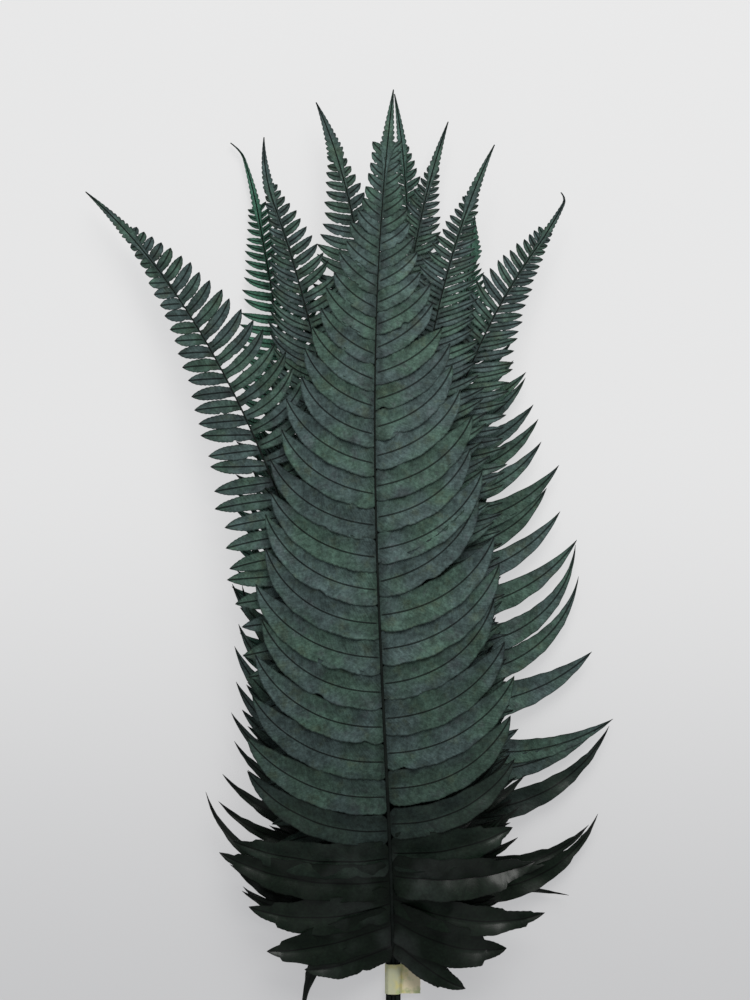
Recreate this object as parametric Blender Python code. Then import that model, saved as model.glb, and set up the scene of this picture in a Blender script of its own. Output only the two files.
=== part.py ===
"""A tied bunch of ten preserved fern fronds, lying on its back on a table.

The tips point along +Y, the front frond is uppermost and Z = 0 is the table. Sizes below are in
millimetres, measured from the middle of the tape. Each frond is one solid: stem, rib, leaflets cut
to the rib and a toothed tail. It is drawn flat first and then draped: level 0 is the frond that lies
on the table, and each level above it lies a little higher, so that no two fronds meet.
"""

import math

import bmesh
import bpy
import numpy as np

MM = 0.001

# The tie: stems in rows of three, four and three, with a strip of adhesive tape round them
TIE_X = 3.2
STEM_R = 1.1
SEAT_GAP = 0.3
TAPE_WIDTH = 18.0
TAPE_THICK = 0.6
TAPE_SIDES = 20
FLAG_LENGTH = 11.5
FLAG_DROOP = 1.2
STEM_PITCH = math.sqrt(3) * STEM_R + SEAT_GAP
ROW_PITCH = 1.5 * STEM_R + SEAT_GAP
TIE_HEIGHT = TAPE_THICK + SEAT_GAP + STEM_R + ROW_PITCH
STEM_BELOW = 55.0
STEM_ABOVE = 12.0
STEM_SPLAY = 0.35

# The pile: how far apart the levels lie, and how far the lowest rib stands off the table
LEVEL_GAP = 7.2
LEVEL_START = 6.0
LEVEL_GROWTH = 90.0
PILE_HALF_WIDTH = 130.0
LOWEST_RISE = 9.0
LOWEST_GROWTH = 90.0
LOWEST_HALF_WIDTH = 52.0
BUNCH_LENGTH = 535.0
FAN_OUT = 28.0
FAN_OUT_PER_LEVEL = 1.4

# The fronds' habit: leaflets by their share of the way from the tip to the lowest leaflet
BLADE_THICK = 0.8
RIB_R_TIP = 0.5
TAIL_LENGTH = 46.0
TAIL_HALF_WIDTH = 6.2
TAIL_TEETH = 5
LEAFLET_CLEARANCE = 0.45
SPACING_START = 4.8
SPACING_GROWTH = 0.051
CROWDING = 0.4
STAGGER = 0.1
HABIT_SHARE = (0.10, 0.25, 0.40, 0.65, 0.85, 1.00)
HABIT_ROOT_DEG = (24, 20, 8, 0, -4, -26)
HABIT_TIP_DEG = (46, 54, 62, 66, 64, 28)
SHORT_LEAFLET = 50.0
LONG_LEAFLET = 75.0
TOP_LEVEL = 9.4
BEND_STEPS = 12

# name: level in the pile, stem's seat (across, row), rib's bend, shoulder and tip (x, y), tip's hook,
# longest leaflet (left, right) and the share of the way down where they are full, extra slant and sweep
# of the leaflets (left, right), fineness of their spacing, tail's length, height of the lowest pair
FRONDS = {
    "frond_back_centre": (
        *(0.0, (0, -1), (2, 180), (26, 415), (4, 534), 0),
        *((94, 84), 0.85, (0, 0), (1.0, 1.0), 1.3, 46, 48),
    ),
    "frond_back_left": (
        *(1.0, (-1, -1), (-26, 160), (-67, 400), (-86, 504), -9),
        *((64, 80), 0.85, (-8, 0), (0.9, 0.9), 1.05, 44, 50),
    ),
    "frond_back_right": (
        *(2.1, (1, -1), (12, 170), (47, 360), (50, 459), 2),
        *((80, 134), 1.0, (0, 9), (0.8, 0.85), 1.05, 46, 52),
    ),
    "frond_tall_right": (
        *(3.1, (0.5, 0), (0, 180), (-13, 375), (36, 515), 0),
        *((80, 76), 0.85, (0, 0), (0.8, 0.8), 1.2, 44, 50),
    ),
    "frond_tall_left": (
        *(4.2, (-0.5, 0), (-3, 180), (9, 415), (-43, 526), 0),
        *((94, 66), 0.85, (-8, -4), (1.0, 0.9), 1.1, 46, 48),
    ),
    "frond_mid_left": (
        *(5.2, (-1.5, 0), (-5, 190), (-36, 415), (-86, 505), 12),
        *((100, 86), 1.0, (10, -12), (1.1, 1.0), 1.05, 44, 52),
    ),
    "frond_side_right": (
        *(6.2, (1.5, 0), (4, 170), (2, 352), (115, 472), -12),
        *((68, 68), 0.9, (-4, 12), (0.6, 0.25), 0.86, 32, 44),
    ),
    "frond_mid_right": (
        *(7.2, (1, 1), (2, 180), (3, 378), (63, 499), 0),
        *((68, 72), 0.85, (-10, 8), (0.6, 0.5), 1.05, 42, 46),
    ),
    "frond_side_left": (
        *(8.25, (-1, 1), (-13, 150), (-66, 375), (-181, 473), 0),
        *((58, 78), 0.95, (10, -14), (-0.1, 1.0), 0.84, 44, 42),
    ),
    "frond_front": (
        *(9.4, (0, 1), (0, 180), (-20, 335), (3, 529), 0),
        *((92, 90), 0.68, (4, 4), (1.0, 1.0), 1.0, 46, 30),
    ),
}

# The low leaflets that hang out of line: (frond, side, pair from the foot): angle at root and tip, length
STRAYS = {
    ("frond_front", -1, 0): (-36, 8, 78),
    ("frond_front", -1, 1): (-24, 22, 84),
    ("frond_front", 1, 0): (-48, -26, 50),
    ("frond_front", 1, 1): (-40, 0, 74),
    ("frond_front", 1, 2): (-28, 16, 88),
    ("frond_back_left", -1, 0): (-30, -88, 84),
    ("frond_back_left", -1, 1): (-32, 62, 104),
    ("frond_tall_left", -1, 1): (-26, 46, 106),
    ("frond_mid_left", -1, 2): (-20, 88, 130),
    ("frond_back_right", 1, 1): (-20, 74, 133),
}

FERN_GREEN = (0.045, 0.075, 0.068, 1.0)
BACK_GREEN = (0.035, 0.105, 0.062, 1.0)
TAPE_CREAM = (0.55, 0.53, 0.38, 1.0)
GREENER = ("frond_back_left", "frond_back_right")


def material(name, colour, roughness):
    """A plain Principled material."""
    made = bpy.data.materials.new(name)
    made.use_nodes = True
    shader = made.node_tree.nodes["Principled BSDF"]
    shader.inputs["Base Color"].default_value = colour
    shader.inputs["Roughness"].default_value = roughness
    shader.inputs["Metallic"].default_value = 0.0
    return made


def ease(t):
    """0 below 0, 1 above 1, and a smooth step between."""
    t = np.clip(t, 0.0, 1.0)
    return t * t * (3 - 2 * t)


def sheet_height(x, y, level):
    """Height of a frond's underside: the lowest frond is a low arch, and the gap between the levels
    grows with the distance from the tie, then shrinks to the sides and towards the tips."""
    out = np.hypot(x, y)
    along = y / BUNCH_LENGTH
    gap = LEVEL_GAP * (1 - np.exp(-(out + LEVEL_START) / LEVEL_GROWTH)) * (1 - 0.3 * along**3)
    arch = LOWEST_RISE * (1 - np.exp(-out / LOWEST_GROWTH)) * (1 - 0.95 * along**2)
    side = np.clip(1 - (x / LOWEST_HALF_WIDTH) ** 2, 0, None)
    return arch * side + level * gap / (1 + (x / PILE_HALF_WIDTH) ** 2)


class Rib:
    """The line that a frond's stem and rib follow, measured as a distance from the frond's tip."""

    def __init__(self, level, seat, bend, shoulder, tip, hook):
        self.level = level
        self.seat = (TIE_X + seat[0] * STEM_PITCH, TIE_HEIGHT + seat[1] * ROW_PITCH)
        cut = np.linspace(-STEM_BELOW, STEM_ABOVE, 24)
        splay = STEM_SPLAY * seat[0] * STEM_PITCH * np.clip(-cut / STEM_BELOW, 0, 1) ** 2
        straight = np.column_stack([self.seat[0] + splay, cut])
        t = np.linspace(0, 1, 240)[1:, None]
        start = np.array([self.seat[0], STEM_ABOVE])
        curve = start * (1 - t) ** 3 + np.array(bend) * 3 * t * (1 - t) ** 2
        curve = curve + np.array(shoulder) * 3 * t**2 * (1 - t) + np.array(tip) * t**3
        line = np.vstack([straight, curve])
        left = np.append(np.cumsum(np.hypot(*np.diff(line[::-1], axis=0).T))[::-1], 0.0)
        line[:, 0] += hook * np.clip(1 - left / TAIL_LENGTH, 0, 1) ** 2
        self.line, self.left = line[::-1], left[::-1]
        self.length = float(left[0])

    def at(self, distance):
        """Planar point at this distance from the tip."""
        return np.array([np.interp(distance, self.left, self.line[:, i]) for i in (0, 1)])

    def along(self, distance):
        """Unit vector along the rib, towards the tip."""
        step = self.at(distance - 1.5) - self.at(distance + 1.5)
        return step / np.hypot(*step)

    def radius(self, distance):
        """The stem tapers from the tie to the tip."""
        return RIB_R_TIP + (STEM_R - RIB_R_TIP) * min(1.0, distance / (0.8 * self.length))

    def lift(self, distance):
        """How far the rib lies above or below its own level: it leaves the tie and joins its level."""
        x, y = self.at(distance)
        middle = sheet_height(x, y, self.level) + BLADE_THICK / 2
        over = FAN_OUT - FAN_OUT_PER_LEVEL * self.level
        return (self.seat[1] - middle) * (1 - ease((y - STEM_ABOVE + 3) / over))

    def height(self, distance):
        """Height of the rib's middle."""
        x, y = self.at(distance)
        return sheet_height(x, y, self.level) + BLADE_THICK / 2 + self.lift(distance)


def leaflet_profile(share, full):
    """Leaflet length along the frond: short at the tip, longest from here on, shorter at the foot."""
    rise = np.sin(math.pi / 2 * np.clip((share - 0.03) / (full - 0.03), 0, 1)) ** 1.1
    return rise * (1 - 0.2 * np.clip((share - 0.85) / 0.15, 0, 1) ** 2)


def leaflet_places(foot, tail, fineness):
    """Distances from the tip at which the leaflets stand, and the room that each has. The spacing grows
    down the frond and closes up again at the foot."""
    places, rooms = [tail], []
    while places[-1] < foot:
        crowded = 1 - CROWDING * float(ease((places[-1] / foot - 0.82) / 0.08))
        rooms.append(fineness * (SPACING_START + SPACING_GROWTH * places[-1]) * crowded)
        places.append(places[-1] + rooms[-1])
    rooms.append(rooms[-1])
    scale = (foot - tail) / (places[-1] - tail)
    places = [tail + (place - tail) * scale for place in places]
    return list(zip(places, [room * scale for room in rooms]))[::-1]


class FrondMesh:
    """Collects the underside of one frond as triangles, each point with its own thickness."""

    def __init__(self):
        self.points, self.rises, self.faces = [], [], []

    def point(self, xy, z, rise):
        self.points.append((xy[0], xy[1], z))
        self.rises.append(rise)
        return len(self.points) - 1

    def band(self, left, right):
        """Triangles between two rows of (distance, point) that run from the foot to the tip."""
        i = j = 0
        while i < len(left) - 1 or j < len(right) - 1:
            step_left = j == len(right) - 1 or (i < len(left) - 1 and left[i + 1][0] >= right[j + 1][0])
            a, b = left[i][1], right[j][1]
            c = left[i + 1][1] if step_left else right[j + 1][1]
            if len({a, b, c}) == 3:
                self.faces.append((a, b, c))
            i, j = (i + 1, j) if step_left else (i, j + 1)

    def to_object(self, name, colour, collection):
        """Extrudes the underside upwards by each point's thickness, which closes the solid."""
        shell = bmesh.new()
        under = [shell.verts.new([c * MM for c in p]) for p in self.points]
        for face in self.faces:
            shell.faces.new([under[i] for i in face])
        rises = dict(zip(under, self.rises))
        over = bmesh.ops.duplicate(shell, geom=list(shell.faces))["vert_map"]
        rims = [edge.verts for edge in shell.edges if edge.is_boundary and edge.verts[0] in rises]
        for a, b in rims:
            shell.faces.new((a, b, over[b]))
            shell.faces.new((a, over[b], over[a]))
        for vert, rise in rises.items():
            over[vert].co.z += rise * MM
        bmesh.ops.recalc_face_normals(shell, faces=list(shell.faces))
        mesh = bpy.data.meshes.new(name)
        shell.to_mesh(mesh)
        shell.free()
        mesh.materials.append(colour)
        frond = bpy.data.objects.new(name, mesh)
        collection.objects.link(frond)
        return frond


def leaflet_habit(share, slant, sweep):
    """A leaflet's angles at root and tip, in degrees from square to the rib towards the frond's tip."""
    root_deg = float(np.interp(share, HABIT_SHARE, HABIT_ROOT_DEG))
    tip_deg = float(np.interp(share, HABIT_SHARE, HABIT_TIP_DEG))
    start = root_deg + slant * (1 - share**4)
    return start, start + (tip_deg - root_deg) * sweep


def leaflet(mesh, rib, side, distance, spacing, angles, length, root):
    """One leaflet: a curved, tapering blade whose root edge is shared with the rib's side."""
    ahead = rib.along(distance)
    out = side * np.array([ahead[1], -ahead[0]])
    steps = np.linspace(0, 1, BEND_STEPS + 1)
    angle = np.radians(angles[0] + (angles[1] - angles[0]) * steps**1.2)
    heading = np.cos(angle)[:, None] * out + np.sin(angle)[:, None] * ahead
    path = np.vstack([[0, 0], np.cumsum((heading[1:] + heading[:-1]) / 2, axis=0)]) * length / BEND_STEPS
    path = path + rib.at(distance) + out * rib.radius(distance) * math.sqrt(3) / 2
    if length < SHORT_LEAFLET:
        stations = (0.52,)
    else:
        stations = (0.3, 0.58, 0.82) if rib.level > TOP_LEVEL - 1 and length > LONG_LEAFLET else (0.32, 0.68)
    lower, upper = root
    sink = rib.lift(distance)
    for u in stations:
        centre = np.array([np.interp(u, steps, path[:, i]) for i in (0, 1)])
        turn = np.interp(u, steps, angle)
        room = spacing * math.cos(turn) / 2 - LEAFLET_CLEARANCE
        half = min(spacing / 2 - LEAFLET_CLEARANCE, room) * (1 - u**2.4)
        across = math.cos(turn) * ahead - math.sin(turn) * out
        ends = []
        for edge in (-half, half):
            xy = centre + across * edge
            z = sheet_height(*xy, rib.level) + sink * (1 - u) ** 2
            ends.append(mesh.point(xy, z, BLADE_THICK))
        mesh.faces += [(lower, ends[0], ends[1]), (lower, ends[1], upper)]
        lower, upper = ends
    tip = path[-1]
    mesh.faces.append((lower, mesh.point(tip, sheet_height(*tip, rib.level), BLADE_THICK), upper))


def frond_mesh(name, level, seat, bend, shoulder, tip, hook, reach, full, slant, sweep, fine, tail, lowest):
    """The whole frond's underside: a stem and rib as a keeled strip, leaflets on both sides, and the
    toothed tail."""
    rib = Rib(level, seat, bend, shoulder, tip, hook)
    mesh = FrondMesh()
    foot = float(np.interp(lowest, rib.line[::-1, 1], rib.left[::-1]))
    places = leaflet_places(foot, tail, fine)
    low = rib.length - STEM_BELOW
    stem = [rib.length, low + 9, low - 9, low - 16, low - 22, low - 28]
    stem = [d for d in stem if d > foot + 14]

    keel = []
    for distance in stem + [distance for distance, _ in places]:
        r = rib.radius(distance)
        keel.append((distance, mesh.point(rib.at(distance), rib.height(distance) - r, 2 * r)))

    rows = {}
    for side in (-1, 1):
        row = []

        def edge(distance, half, rise, row=row, side=side):
            ahead = rib.along(distance)
            xy = rib.at(distance) + side * half * np.array([ahead[1], -ahead[0]])
            row.append((distance, mesh.point(xy, rib.height(distance) - rise / 2, rise)))
            return row[-1][1]

        for distance in stem:
            edge(distance, rib.radius(distance) * math.sqrt(3) / 2, rib.radius(distance))
        for pair, (distance, spacing) in enumerate(places):
            share = distance / foot
            place = distance - side * STAGGER * spacing
            wide = spacing / 2 - LEAFLET_CLEARANCE
            r = rib.radius(place)
            root = [edge(place + k * wide, r * math.sqrt(3) / 2, max(r, BLADE_THICK)) for k in (1, -1)]
            hand = (side + 1) // 2
            length = reach[hand] * leaflet_profile(share, full)
            angles = leaflet_habit(share, slant[hand], sweep[hand])
            *angles, length = STRAYS.get((name, side, pair), (*angles, length))
            leaflet(mesh, rib, side, place, spacing, angles, length, root)
        start = row[-1][0] - 2.0
        for k in range(TAIL_TEETH):
            at = start * (1 - k / TAIL_TEETH)
            half = TAIL_HALF_WIDTH * (at / TAIL_LENGTH) ** 0.75
            edge(at, 0.62 * half, BLADE_THICK)
            edge(at * 0.93, half, BLADE_THICK)
        rows[side] = row

    for k in (3, 2, 1):
        at = tail * 0.23 * k
        r = max(rib.radius(at), BLADE_THICK / 2 + 0.15)
        keel.append((at, mesh.point(rib.at(at), rib.height(at) - r, 2 * r)))
    end = (0.0, mesh.point(rib.at(0.0), rib.height(0.0) - BLADE_THICK / 2, BLADE_THICK))
    mesh.band(rows[-1] + [end], keel + [end])
    mesh.band(keel + [end], rows[1] + [end])
    return mesh


def tie_outline(margin):
    """A loop round the six outer stems, this far from their centres, anticlockwise from the flag's root."""
    outer_stems = ((1.5, 0), (1, 1), (-1, 1), (-1.5, 0), (-1, -1), (1, -1))
    centres = np.array([(across * STEM_PITCH, row * ROW_PITCH) for across, row in outer_stems])
    turns = 2 * math.pi * (np.arange(TAPE_SIDES) + 0.5) / TAPE_SIDES
    normals = np.column_stack([np.cos(turns), np.sin(turns)])
    loop = np.array([centres[np.argmax(centres @ n)] + margin * n for n in normals])
    level = np.abs(normals[:, 1]) > 0.98
    loop[level, 1] = np.sign(normals[level, 1]) * (ROW_PITCH + margin)
    return loop


def tape_object(collection):
    """The tape: a closed band round the stems whose two ends are stuck together as a flag."""
    inner = tie_outline(STEM_R + SEAT_GAP)
    outer = tie_outline(STEM_R + SEAT_GAP + TAPE_THICK)
    reach = np.linspace(0, 1, 6)[1:]
    droop = -FLAG_DROOP * reach**2
    under = np.column_stack([outer[0, 0] + reach * FLAG_LENGTH, droop - TAPE_THICK / 2])
    over = under[::-1] + [0, TAPE_THICK]
    curve = bpy.data.curves.new("tape_outline", "CURVE")
    curve.dimensions = "2D"
    curve.fill_mode = "BOTH"
    curve.extrude = TAPE_WIDTH / 2 * MM
    for loop in (np.vstack([outer, under, over]), inner):
        spline = curve.splines.new("POLY")
        spline.points.add(len(loop) - 1)
        for point, (x, z) in zip(spline.points, loop):
            point.co = (x * MM, z * MM, 0.0, 1.0)
        spline.use_cyclic_u = True
    outline = bpy.data.objects.new("tape_outline", curve)
    collection.objects.link(outline)
    outline.rotation_euler = (math.pi / 2, 0, 0)
    outline.location = (TIE_X * MM, 0, TIE_HEIGHT * MM)
    bpy.context.view_layer.update()
    graph = bpy.context.evaluated_depsgraph_get()
    mesh = bpy.data.meshes.new_from_object(outline.evaluated_get(graph))
    mesh.transform(outline.matrix_world)
    bpy.data.objects.remove(outline)
    mesh.name = "tape"
    shell = bmesh.new()
    shell.from_mesh(mesh)
    bmesh.ops.remove_doubles(shell, verts=list(shell.verts), dist=0.00001)
    bmesh.ops.recalc_face_normals(shell, faces=list(shell.faces))
    shell.to_mesh(mesh)
    shell.free()
    mesh.materials.clear()
    mesh.materials.append(material("tape_cream", TAPE_CREAM, 0.45))
    tape = bpy.data.objects.new("tape", mesh)
    collection.objects.link(tape)
    return tape


def main():
    for old in list(bpy.data.objects):
        bpy.data.objects.remove(old)
    bunch = bpy.data.collections.new("preserved_fern_bunch")
    bpy.context.scene.collection.children.link(bunch)
    fern = material("fern_green", FERN_GREEN, 0.62)
    greener = material("fern_back_green", BACK_GREEN, 0.6)

    meshes = {name: frond_mesh(name, *habit) for name, habit in FRONDS.items()}
    every = np.vstack([np.array(mesh.points) for mesh in meshes.values()])
    middle = (every.min(0) + every.max(0)) / 2
    centre = bpy.data.objects.new("centre", None)
    centre.location = (-middle[0] * MM, -middle[1] * MM, 0)
    bunch.objects.link(centre)

    pieces = [tape_object(bunch)]
    for name, mesh in meshes.items():
        pieces.append(mesh.to_object(name, greener if name in GREENER else fern, bunch))
    for piece in pieces:
        piece.parent = centre


main()
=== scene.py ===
"""Looks of a tied bunch of ten preserved fern fronds that lies on its back, seen from straight above.

Lengths are in millimetres and measured from the middle of the tape: the tips point along +Y and Z = 0
is the table. Each frond has a rib, leaflets on both sides and a toothed tail, which lie where the
frame has its plain solid.
"""

import math

import bpy
import numpy as np
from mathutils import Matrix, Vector


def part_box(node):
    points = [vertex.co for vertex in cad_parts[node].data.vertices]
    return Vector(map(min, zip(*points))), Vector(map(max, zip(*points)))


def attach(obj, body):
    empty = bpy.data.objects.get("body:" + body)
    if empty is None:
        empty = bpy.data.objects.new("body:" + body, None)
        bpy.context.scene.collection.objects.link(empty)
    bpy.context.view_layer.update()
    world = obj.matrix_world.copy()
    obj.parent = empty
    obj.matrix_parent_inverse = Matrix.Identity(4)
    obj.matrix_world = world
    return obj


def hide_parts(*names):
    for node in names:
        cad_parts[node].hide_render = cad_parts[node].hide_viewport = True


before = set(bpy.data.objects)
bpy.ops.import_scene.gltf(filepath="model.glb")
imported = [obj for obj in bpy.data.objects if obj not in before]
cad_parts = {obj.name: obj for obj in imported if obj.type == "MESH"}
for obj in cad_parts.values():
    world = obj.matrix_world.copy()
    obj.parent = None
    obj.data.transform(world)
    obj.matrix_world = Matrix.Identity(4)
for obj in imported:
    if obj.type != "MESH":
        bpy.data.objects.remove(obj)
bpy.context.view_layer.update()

MM = 0.001

# The tie: stems in rows of three, four and three, with a strip of adhesive tape round them
TIE_X = 3.2
STEM_R = 1.1
SEAT_GAP = 0.3
TAPE_THICK = 0.6
TAPE_SIDES = 20
FLAG_LENGTH = 11.5
FLAG_DROOP = 1.2
STEM_PITCH = math.sqrt(3) * STEM_R + SEAT_GAP
ROW_PITCH = 1.5 * STEM_R + SEAT_GAP
TIE_HEIGHT = TAPE_THICK + SEAT_GAP + STEM_R + ROW_PITCH
STEM_BELOW = 55.0
STEM_ABOVE = 12.0
STEM_SPLAY = 0.35

# The pile: how far apart the levels lie, and how far the lowest rib stands off the table
LEVEL_GAP = 7.2
LEVEL_START = 6.0
LEVEL_GROWTH = 90.0
PILE_HALF_WIDTH = 130.0
LOWEST_RISE = 9.0
LOWEST_GROWTH = 90.0
LOWEST_HALF_WIDTH = 52.0
BUNCH_LENGTH = 535.0
FAN_OUT = 28.0
FAN_OUT_PER_LEVEL = 1.4

# The fronds' habit: leaflets by their share of the way from the tip to the lowest leaflet
BLADE_THICK = 0.35
RIB_HEIGHT = 0.4
RIB_R_TIP = 0.32
HOOK_LENGTH = 46.0
CURL_LENGTH = 10.0
EARLY_FADE = 22.0
TAIL_HALF_WIDTH = 4.9
TAIL_WIDE_AT = 38.0
WING = 0.9
WING_END = 84.0
TAIL_LOBE = 3.3
SPACING_AT = (30, 60, 100, 160, 220, 320, 450)
CROWDING = 0.34
# Distances from the tip at which each frond's painted backlight is given: a paler green that stands in
# for light shining through the blade
PAINTED_BACKLIGHT_AT = (60, 130, 200)
STAGGER = 0.12
HABIT_SHARE = (0.06, 0.25, 0.40, 0.65, 0.85, 1.00)
HABIT_ROOT_DEG = (26, 20, 8, 0, -4, -20)
HABIT_TIP_DEG = (50, 54, 62, 66, 58, 26)

# Each frond: level, stem's seat, rib's bend, shoulder, tip and hook, longest leaflets (left, right),
# the share of the way down where they are full and the power by which they grow (left, right), extra
# slant and sweep (left, right), the leaflets' spacing at the distances above, where the first ones
# stand and the height of the lowest pair. Then the looks: the tail's width, blade width as a share of
# the spacing (near the tip, further down), the power of the taper, how much a turned blade narrows and
# how much its root does, how far a blade laps under the one above, stations along a blade and points
# across, and how much painted backlight the tip, the shoulder and the rest have: a paler green that
# stands in for light shining through the blade. Some have a curl at the very tip as well, or early
# leaflets that are longer than the rest of the outline gives.
FRONDS = {
    "frond_back_centre": dict(
        level=0.0, seat=(0, -1), bend=(2, 180), shoulder=(26, 415), tip=(4, 534), hook=0,
        reach=(88, 76), full=0.85, power=(1.1, 1.1), slant=(0, 0), sweep=(1, 1),
        rooms=(5.0, 6.6, 8.4, 11, 13, 17, 18), first=36, lowest=48,
        tail=0.7, blade=(0.86, 1.0, 3.6, 0.5, 0.1), lap=0.5, grid=(18, 5), painted_backlight=(0.3, 0.2, 0),
    ),
    "frond_back_left": dict(
        level=1.0, seat=(-1, -1), bend=(-26, 160), shoulder=(-67, 400), tip=(-86, 504), hook=-4, curl=-5,
        reach=(64, 80), full=0.85, power=(1.1, 1.1), slant=(-8, 0), sweep=(0.9, 0.9),
        rooms=(4.0, 5.0, 7.2, 8.8, 11, 15, 17), first=42, lowest=50,
        tail=0.5, blade=(0.74, 0.84, 3.4, 0.6, 0.2), lap=0.2, grid=(24, 5), painted_backlight=(1, 1, 0.5),
    ),
    "frond_back_right": dict(
        level=2.1, seat=(1, -1), bend=(12, 170), shoulder=(47, 360), tip=(50, 459), hook=2,
        reach=(80, 128), full=1.0, power=(1.1, 1.1), slant=(0, 9), sweep=(0.8, 0.85),
        rooms=(3.8, 6, 10, 14.6, 18, 20, 20), first=26, lowest=52,
        tail=2.2, blade=(0.84, 0.98, 3.0, 0.6, 0.1), lap=0.3, grid=(34, 5), painted_backlight=(0.6, 0.1, 0),
    ),
    "frond_tall_right": dict(
        level=3.1, seat=(0.5, 0), bend=(0, 180), shoulder=(-13, 375), tip=(36, 515), hook=0,
        reach=(80, 76), full=0.85, power=(1.1, 1.1), slant=(0, 0), sweep=(0.8, 0.8),
        rooms=(4.0, 5.4, 7.0, 9, 11, 15, 17), first=32, lowest=50,
        tail=0.8, blade=(0.84, 0.98, 4.0, 0.6, 0.15), lap=0.3, grid=(20, 5), painted_backlight=(0, 0, 0),
    ),
    "frond_tall_left": dict(
        level=4.2, seat=(-0.5, 0), bend=(-3, 180), shoulder=(9, 415), tip=(-43, 526), hook=0,
        reach=(94, 66), full=0.85, power=(1.1, 1.1), slant=(-8, -4), sweep=(1.0, 0.9),
        rooms=(5.2, 7.0, 8.8, 11.5, 13.5, 16, 18), first=36, lowest=48,
        tail=1.12, blade=(0.86, 0.98, 4.2, 0.5, 0.12), lap=0.3, grid=(22, 5), painted_backlight=(0, 0, 0),
    ),
    "frond_mid_left": dict(
        level=5.2, seat=(-1.5, 0), bend=(-5, 190), shoulder=(-36, 415), tip=(-86, 505), hook=12,
        reach=(110, 92), full=1.0, power=(1.3, 1.1), slant=(10, -12), sweep=(1.1, 1.0),
        rooms=(4.6, 6.4, 7.6, 8.8, 11, 15, 18), first=36, lowest=52,
        tail=0.75, blade=(0.84, 0.92, 4.2, 0.5, 0.25), lap=0.2, grid=(26, 5), painted_backlight=(0, 0, 0),
    ),
    "frond_side_right": dict(
        level=6.2, seat=(1.5, 0), bend=(4, 170), shoulder=(2, 352), tip=(116, 472), hook=-8, curl=-5,
        reach=(70, 66), full=0.9, power=(0.95, 1.1), slant=(-4, 12), sweep=(0.6, 0.25),
        rooms=(4.2, 5.8, 6.6, 7.4, 9, 14, 17), first=34, lowest=44,
        tail=0.6, blade=(0.86, 0.94, 4.4, 0.4, 0.35), lap=0.1, grid=(24, 5), painted_backlight=(0, 0, 0),
    ),
    "frond_mid_right": dict(
        level=7.2, seat=(1, 1), bend=(2, 180), shoulder=(3, 378), tip=(63, 499), hook=0,
        reach=(68, 70), full=0.85, power=(1.1, 1.1), slant=(-10, 8), sweep=(0.6, 0.5),
        rooms=(4.0, 5.2, 6.4, 8, 10, 15, 17), first=38, lowest=46,
        tail=0.8, blade=(0.84, 0.97, 4.2, 0.5, 0.2), lap=0.2, grid=(22, 5), painted_backlight=(0, 0, 0),
    ),
    "frond_side_left": dict(
        level=8.25, seat=(-1, 1), bend=(-13, 150), shoulder=(-66, 375), tip=(-181, 473), hook=0,
        reach=(58, 84), full=0.95, power=(1.1, 1.05), slant=(10, -14), sweep=(-0.1, 1.0),
        rooms=(4.8, 7.4, 8.6, 9.4, 11, 15.5, 18), first=40, lowest=42,
        tail=0.8, blade=(0.94, 0.9, 5.0, 0.3, 0.36), lap=0.0, grid=(32, 5), painted_backlight=(0, 0, 0),
    ),
    "frond_front": dict(
        level=9.4, seat=(0, 1), bend=(0, 180), shoulder=(-20, 335), tip=(3, 529), hook=0,
        reach=(90, 88), full=0.72, power=(1.35, 1.35), slant=(4, 4), sweep=(1, 1),
        rooms=(5.6, 8.0, 11.3, 15.1, 17.8, 20.2, 21.5), early=7, first=38, lowest=24,
        tail=0.92, blade=(0.92, 1.03, 4.8, 0.25, 0.0), lap=0.9, grid=(60, 9), painted_backlight=(0.1, 0, 0),
    ),
}

# The lower leaflets that lie out of line: (frond, side, height of the root): angle at root and tip,
# length and half width
STRAYS = {
    ("frond_front", -1, 24): (-24, 2, 54, 9.0),
    ("frond_front", -1, 40): (-20, 2, 76, 12.5),
    ("frond_front", -1, 55): (-18, 22, 86, 11.0),
    ("frond_front", -1, 69): (-5, 30, 104, 11.0),
    ("frond_front", -1, 86): (-6, 24, 94, 10.5),
    ("frond_front", 1, 26): (-46, -20, 51, 8.5),
    ("frond_front", 1, 42): (-36, 9, 71, 13.5),
    ("frond_front", 1, 57): (-28, 16, 93, 9.5),
    ("frond_front", 1, 71): (-12, 20, 86, 12.5),
    ("frond_front", 1, 88): (-6, 26, 74, 11.5),
    ("frond_back_left", -1, 51): (-22, -80, 90, 7.0),
    ("frond_back_left", -1, 64): (-32, 55, 88, 6.0),
    ("frond_tall_left", -1, 64): (-26, 46, 98, 7.0),
    ("frond_mid_left", -1, 70): (-20, 78, 129, 5.0),
    ("frond_back_right", 1, 53): (10, -7, 101, 3.0),
    ("frond_back_right", 1, 66): (-22, 71, 137, 9.5),
    ("frond_back_right", 1, 79): (-22, 52, 120, 8.0),
    ("frond_back_right", 1, 92): (-6, 26, 62, 8.0),
    ("frond_back_right", 1, 106): (-10, 69, 140, 9.0),
    ("frond_back_right", 1, 126): (-4, 43, 117, 9.0),
    ("frond_back_right", 1, 145): (-14, 40, 124, 8.0),
    ("frond_back_right", 1, 165): (0, 50, 112, 11.0),
    ("frond_back_right", 1, 183): (-2, 86, 122, 9.0),
    ("frond_back_right", 1, 202): (-4, 92, 121, 9.0),
}

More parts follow.
